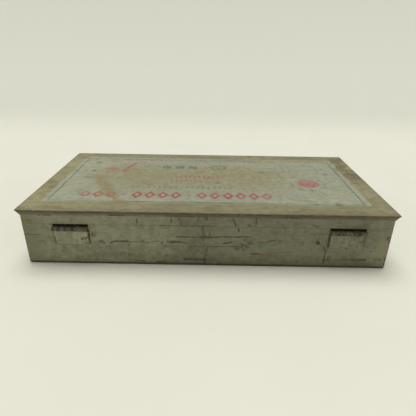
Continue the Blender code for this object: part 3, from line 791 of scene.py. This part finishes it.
def lid_material():
    """The lid: printed top, grey-green skirt, worn rolled rim, plain inside."""
    g = Graph("lid_paint")
    skirt, marks = near_wall_marks(g, wall_colour(g), "lid_pan")
    on_top = g.ramp(g.z, TOP_Z - 0.7, TOP_Z - 0.3)
    colour = rim_dirt_and_shade(g, g.mix(on_top, skirt, lid_top_colour(g)))
    inside = g.times(inner_faces(g), g.ramp(g.z, TOP_Z - 0.5, TOP_Z - 0.7))
    freckles = g.ramp(g.noise(3.0, 4.0, shift=157.0, roughness=0.7), 0.63, 0.74)
    colour = g.mix(inside, colour, lining_colour(g, freckles))
    colour, worn = edge_wear(g, colour, lid_edges(g))
    colour, spots = chips(g, colour, 0.715)
    bare = g.most(g.times(marks, g.other_than(on_top)), worn, spots)
    rough = g.varied(0.50, 0.22, 7.0, shift=161.0)
    return g.finish(colour, rough, g.times(bare, 0.25), paint_height(g, bare), PAINT_RELIEF)


# ---------------------------------------------------------------- hinges, catches and rack

def barrel_colour(g):
    """Bare rolled knuckles: grey-brown, streaked round the barrel."""
    streak = g.noise(1.5, 4.0, stretch=(1, 4, 4), shift=171.0, roughness=0.65)
    steel = g.mix(g.ramp(streak, 0.38, 0.52), BARREL_DARK, BARREL_BROWN)
    return g.mix(g.ramp(streak, 0.54, 0.68), steel, BARREL_PALE)


def upper_leaf_material():
    """The lid's hinge leaf: bare knuckles outside, painted tail inside the skirt."""
    g = Graph("upper_leaf")
    inside = g.ramp(g.y, -WALL_Y - 0.2, -WALL_Y + 0.4)
    patches = g.ramp(g.noise(6.0, 4.0, shift=173.0), 0.4, 0.62)
    tail = g.mix(patches, toned(INSIDE_PAINT, 0.6), INSIDE_PAINT)
    # painted shade: the tail is near-black where it shows through the slot under the seam
    tail = g.mix(g.ramp(g.z, SEAM_Z + 2.0, SEAM_Z + 0.5), tail, toned(GRIME_AND_SHADE, 0.3))
    colour = g.mix(inside, barrel_colour(g), tail)
    colour, spots = chips(g, colour, 0.64)
    rough = g.varied(0.45, 0.25, 3.0, shift=175.0)
    metal = g.times(g.other_than(inside), 0.3)
    return g.finish(colour, rough, metal, paint_height(g, spots), 0.08)


def painted_leaf_material(side):
    """A hinge leaf: painted over with the wall, with its curled barrel rubbed to brown steel."""
    g = Graph(f"leaf_paint_{side}")
    streaks = g.noise(1.6, 3.0, stretch=(1, 1, 6), shift=179.0)
    colour = g.shade(wall_colour(g), g.ramp(streaks, 0.35, 0.65, 1.05, 1.30))
    colour, marks = near_wall_marks(g, colour, f"hinge_lower_leaf_{side}")
    barrel = g.times(g.ramp(g.z, BARREL_LOW_Z - 0.6, BARREL_LOW_Z + 0.3),
                     g.ramp(g.y, -WALL_Y, -WALL_Y - 0.6))
    colour = g.mix(barrel, colour, barrel_colour(g))
    colour, spots = chips(g, colour, 0.62)
    rough = g.varied(0.45, 0.25, 3.0, shift=177.0)
    height = paint_height(g, g.most(spots, marks))
    return g.finish(colour, rough, g.times(barrel, 0.3), height, PAINT_RELIEF)


def worn_steel_material(name, brightness=1.0, rust_share=0.5):
    """Sheet steel gone brown: rubbed bright in places and rusty in others."""
    g = Graph(name)
    cloud = g.noise(4.0, 4.0, shift=181.0, roughness=0.62)
    fine = g.noise(1.0, 3.0, shift=183.0, roughness=0.6)
    tone = g.weighted((cloud, 0.55), (fine, 0.45))
    painted_shade_and_dull_steel = toned(STEEL_DULL, brightness)
    bare = toned(BARE_STEEL, brightness)
    rust = g.ramp(tone, 0.60 - 0.1 * rust_share, 0.70)
    colour = g.mix(g.ramp(tone, 0.38, 0.58), painted_shade_and_dull_steel, bare)
    colour = g.mix(g.times(rust, 0.65), colour, RUST_BROWN)
    rough = g.plus(0.40, g.times(rust, 0.3), g.times(fine, 0.1))
    metal = g.plus(0.65, g.times(rust, -0.5))
    return g.finish(colour, rough, metal, fine)


def rack_material():
    """The notched rails: drab paint worn through in patches."""
    g = Graph("rack_steel")
    cloud = g.noise(11.0, 4.0, shift=191.0, roughness=0.6)
    colour = g.mix(g.ramp(cloud, 0.38, 0.64), RACK_DARK, RACK_LIGHT)
    rubbed = g.ramp(g.noise(4.0, 4.0, shift=193.0, roughness=0.66), 0.56, 0.66)
    colour = g.mix(g.times(rubbed, 0.7), colour, BARREL_BROWN)
    rough = g.plus(0.45, g.times(cloud, 0.25))
    return g.finish(colour, rough, g.times(rubbed, 0.6), g.noise(1.5, 3.0, shift=195.0), 0.06)


def tool_steel_material(number):
    """A punch: blued steel, turned, handled bright along its shank and tarnished by degrees."""
    g = Graph(f"tool_steel_{number:02d}")
    shift = 200.0 + 7.0 * number            # each punch is marked in its own way
    tarnish = g.noise(14.0, 4.0, stretch=(1, 1.6, 1), shift=shift, roughness=0.62)
    turned = g.noise(0.9, 2.0, stretch=(30, 1, 30), shift=shift + 2)
    pits = g.ramp(g.noise(2.2, 4.0, shift=shift + 4, roughness=0.7), 0.60, 0.70)
    fade = g.noise(60.0, 1.0, shift=shift + 6)
    blued = g.mix(g.ramp(fade, 0.4, 0.6), BLUED_DARK, BLUED_LIGHT)
    steel = g.mix(g.ramp(tarnish, 0.36, 0.62), blued, TARNISHED)
    steel = g.mix(g.times(g.ramp(turned, 0.45, 0.62), 0.35), steel, TURNED_BRIGHT)

    # the hammered head and the ground cutting end are bright
    low, high = box_mm(f"punch_{number:02d}")
    head = g.ramp(g.y, low.y + 5.0, low.y + 1.0)
    tip = g.ramp(g.y, high.y - 12.0, high.y - 7.0)
    bright = g.times(g.most(head, tip), g.ramp(tarnish, 0.32, 0.5))
    steel = g.mix(g.times(bright, 0.85), steel, GROUND_BRIGHT)
    colour = g.mix(g.times(pits, 0.6), steel, RUST_BROWN)
    rough = g.plus(0.26, g.times(pits, 0.4), g.times(turned, 0.14))
    metal = g.plus(0.85, g.times(pits, -0.6))
    return g.finish(colour, rough, metal, g.weighted((turned, 0.5), (pits, -0.5)))


def give(name, material):
    """Puts a material on a CAD node, in place of the plain one it came with."""
    slots = nodes[name].data.materials
    slots.clear()
    slots.append(material)


def dress_nodes():
    """Gives every CAD node but the two pans its material."""
    upper = upper_leaf_material()
    rusty = worn_steel_material("rusty_steel", 0.8, 0.8)
    worn = worn_steel_material("worn_steel")
    rack = rack_material()
    for side in SIDES:
        give(f"hinge_lower_leaf_{side}", painted_leaf_material(side))
        give(f"hinge_upper_leaf_{side}", upper)
        give(f"hinge_pin_{side}", rusty)
        give(f"catch_bracket_{side}", worn)
        give(f"catch_hasp_{side}", worn)
        give(f"catch_pin_{side}", rusty)
        give(f"catch_keeper_{side}", worn)
    for side in ("hinge_side", "catch_side"):
        give(f"rack_rail_{side}", rack)
    for number in range(1, PUNCH_COUNT + 1):
        give(f"punch_{number:02d}", tool_steel_material(number))


# ---------------------------------------------------------------- the pans, as hand-worn sheet

MESH_STEP = 4.0 * MM         # the shells' mesh is cut this fine
SAG = 0.35 * MM              # how far a wide face bows
SAG_WAVES = 18               # per metre
SKIN = 1.6 * MM              # the sheet and its inner bends lie within this of an outer face
SLACK = 0.1 * MM
SEAM_REACH = 0.4 * MM        # the edges that meet at the seam lie within this of it
SEAM_CLOSED = 0.08 * MM      # the shells meet closer than the CAD pans' running gap
WELD, CUT_MERGE = 1e-6, 1e-7
FLAT_ANGLE = math.radians(1)
SHARP_ANGLE = math.radians(28)


def finely_cut(node):
    """A copy of a CAD pan's mesh, joined up, with its flat faces cut into an even grid."""
    bm = bmesh.new()
    bm.from_mesh(nodes[node].data)
    bmesh.ops.remove_doubles(bm, verts=bm.verts, dist=WELD)
    bmesh.ops.dissolve_limit(bm, angle_limit=FLAT_ANGLE, verts=bm.verts, edges=bm.edges)
    low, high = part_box(node)
    for axis in range(3):
        length = high[axis] - low[axis]
        count = round(length / MESH_STEP)
        for step in range(1, count):
            place = Vector()
            normal = Vector()
            place[axis] = low[axis] + length * step / count
            normal[axis] = 1.0
            geometry = bm.verts[:] + bm.edges[:] + bm.faces[:]
            bmesh.ops.bisect_plane(bm, geom=geometry, plane_co=place, plane_no=normal,
                                   dist=CUT_MERGE)
    return bm


def bow(half_u, half_v, u, v, seed):
    """How far a sheet has bowed at (u, v): nothing at its edges, most near its middle."""
    free = max(0.0, 1 - (u / half_u) ** 2) * max(0.0, 1 - (v / half_v) ** 2)
    wave = noise.noise(Vector((u * SAG_WAVES, v * SAG_WAVES, seed)))
    return SAG * free * (0.6 + 0.8 * wave)


def worn_shell(name, node, body, finish, seam_side):
    """The pan as years of use have left it: its walls bowed a little, its seam pressed shut."""
    bm = finely_cut(node)
    half_x = WALL_X * MM
    half_y = WALL_Y * MM
    low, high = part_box(node)
    middle_z = (low.z + high.z) / 2
    half_z = (high.z - low.z) / 2
    seam = SEAM_Z * MM
    for vert in bm.verts:
        x, y, z = vert.co
        if half_y - SKIN < abs(y) <= half_y + SLACK:
            vert.co.y -= math.copysign(bow(half_x, half_z, x, z - middle_z, 3.0), y)
        if half_x - SKIN < abs(x) <= half_x + SLACK:
            vert.co.x -= math.copysign(bow(half_y, half_z, y, z - middle_z, 9.0), x)
        if node == "lid_pan" and z > TOP_Z * MM - SKIN:
            vert.co.z -= bow(half_x, half_y, x, y, 15.0)
        if abs(z - seam) < SEAM_REACH:
            vert.co.z += seam_side * SEAM_CLOSED
    mesh = bpy.data.meshes.new(name)
    bm.to_mesh(mesh)
    bm.free()
    mesh.shade_smooth()
    mesh.set_sharp_from_angle(angle=SHARP_ANGLE)
    mesh.materials.append(finish)
    shell = bpy.data.objects.new(name, mesh)
    bpy.context.scene.collection.objects.link(shell)
    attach(shell, body)
    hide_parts(node)
    return shell


def make_shells():
    worn_shell("base_shell", "base_pan", "base", case_material(), 1)
    worn_shell("lid_shell", "lid_pan", "lid", lid_material(), -1)


# ---------------------------------------------------------------- stage, light and camera

FLOOR_RADIUS = 1.7          # metres: the flat floor, then a long shallow slope up all round
SLOPE_RADIUS = 7.0
SLOPE_HEIGHT = 2.6
SLOPE_CURVE = 1.6
SLOPE_STEPS = 16
SLOPE_RIM = (7.5, 6.0)      # the radius and height the slope ends at, almost upright
FLOOR_SIDES = 64
DULL_FROM_Y, DULL_TO_Y = 300.0, 620.0      # millimetres: the floor is a shade darker far behind


def floor_profile():
    """The floor's rings, from the first one out: radius and height."""
    profile = []
    for step in range(SLOPE_STEPS + 1):
        share = step / SLOPE_STEPS
        radius = FLOOR_RADIUS + (SLOPE_RADIUS - FLOOR_RADIUS) * share
        profile.append((radius, SLOPE_HEIGHT * share ** SLOPE_CURVE))
    return profile + [SLOPE_RIM]


def floor_material():
    """Pale matt paper, a shade darker far behind the case."""
    g = Graph("pale_floor")
    beyond = g.ramp(g.y, DULL_FROM_Y, DULL_TO_Y)
    paper = g.noise(90.0, 2.0, shift=3.0)
    pale = g.mix(g.ramp(paper, 0.3, 0.7), toned(FLOOR_PALE, 0.985), FLOOR_PALE)
    return g.finish(g.mix(beyond, pale, BACKDROP_PALE), 0.85)


def make_floor():
    """A pale round floor that sweeps up into a backdrop."""
    points = []
    faces = []
    for ring, (radius, height) in enumerate(floor_profile()):
        for side in range(FLOOR_SIDES):
            turn = 2 * math.pi * side / FLOOR_SIDES
            points.append((radius * math.cos(turn), radius * math.sin(turn), height))
            if ring:
                here = ring * FLOOR_SIDES + side
                beside = ring * FLOOR_SIDES + (side + 1) % FLOOR_SIDES
                faces.append((here, beside, beside - FLOOR_SIDES, here - FLOOR_SIDES))
    faces.append(tuple(range(FLOOR_SIDES)))
    mesh = bpy.data.meshes.new("floor")
    mesh.from_pydata(points, [], faces)
    mesh.shade_smooth()
    mesh.materials.append(floor_material())
    floor = bpy.data.objects.new("floor", mesh)
    bpy.context.scene.collection.objects.link(floor)


SUN_STRENGTH = 1.88
SUN_SPREAD = math.radians(40)
SUN_TURN = (math.radians(-9.5), math.radians(-3), 0.0)
SUN_COLOUR = (1.0, 0.992, 0.965)
SKY_STRENGTH = 0.285
SKY_COLOUR = (0.97, 1.0, 0.97, 1.0)


def make_lights():
    """Soft light from overhead, a little behind the case, and pale light from all round."""
    key = bpy.data.lights.new("key", "SUN")
    key.energy = SUN_STRENGTH
    key.angle = SUN_SPREAD
    key.color = SUN_COLOUR
    lamp = bpy.data.objects.new("key", key)
    lamp.rotation_euler = SUN_TURN
    bpy.context.scene.collection.objects.link(lamp)
    world = bpy.data.worlds.new("studio")
    world.use_nodes = True
    sky = world.node_tree.nodes["Background"]
    sky.inputs["Color"].default_value = SKY_COLOUR
    sky.inputs["Strength"].default_value = SKY_STRENGTH
    bpy.context.scene.world = world


CAMERA_PLACE = Vector((0.00216, -0.30944, 0.16074))
CAMERA_DOWN = math.radians(24.9)
CAMERA_YAW = math.radians(-0.38)
CAMERA_ROLL = math.radians(-0.8)
SENSOR_WIDTH = 36.0         # mm, as is the focal length
FOCAL_LENGTH = 31.67
CLIP_START = 0.01


def make_camera():
    camera_data = bpy.data.cameras.new("camera")
    camera_data.sensor_width = SENSOR_WIDTH
    camera_data.lens = FOCAL_LENGTH
    camera_data.clip_start = CLIP_START
    camera = bpy.data.objects.new("camera", camera_data)
    ahead = Vector((math.sin(CAMERA_YAW) * math.cos(CAMERA_DOWN),
                    math.cos(CAMERA_YAW) * math.cos(CAMERA_DOWN), -math.sin(CAMERA_DOWN)))
    level_right = Vector((math.cos(CAMERA_YAW), -math.sin(CAMERA_YAW), 0.0))
    level_down = ahead.cross(level_right)
    right = level_right * math.cos(CAMERA_ROLL) + level_down * math.sin(CAMERA_ROLL)
    down = level_down * math.cos(CAMERA_ROLL) - level_right * math.sin(CAMERA_ROLL)
    turn = Matrix((right, -down, -ahead)).transposed()
    camera.matrix_world = Matrix.Translation(CAMERA_PLACE) @ turn.to_4x4()
    bpy.context.scene.collection.objects.link(camera)
    bpy.context.scene.camera = camera


make_camera()
make_floor()
make_lights()
dress_nodes()
make_shells()
bpy.context.scene.view_settings.view_transform = "Standard"
